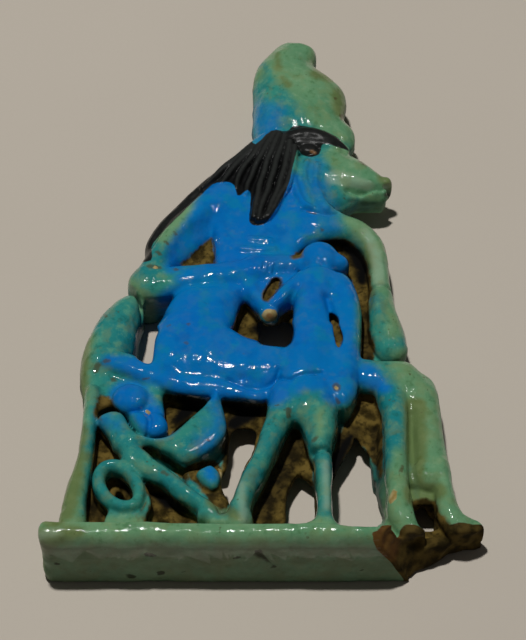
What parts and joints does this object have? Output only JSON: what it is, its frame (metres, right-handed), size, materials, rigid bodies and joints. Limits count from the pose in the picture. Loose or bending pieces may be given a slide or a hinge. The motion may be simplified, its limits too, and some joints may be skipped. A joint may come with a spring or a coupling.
{
  "type": "lion-headed goddess amulet",
  "caption": "Openwork glazed faience amulet: a lion-headed goddess seated on a throne with a child standing at her knee, lying on its flat back.",
  "frame": {"origin": "centre of the bounding box's bottom, on the flat back that the amulet lies on", "axes": "+X the way the goddess faces, +Y from the base slab up to the crown, +Z out of the carved front"},
  "size_m": [0.0482, 0.08, 0.0082],
  "materials": {
    "faience": "glossy blue, turquoise and green glaze with black hair, brown bare recesses and a brown broken end"
  },
  "bodies": {
    "root": {"amulet": "faience"}
  },
  "joints": []
}
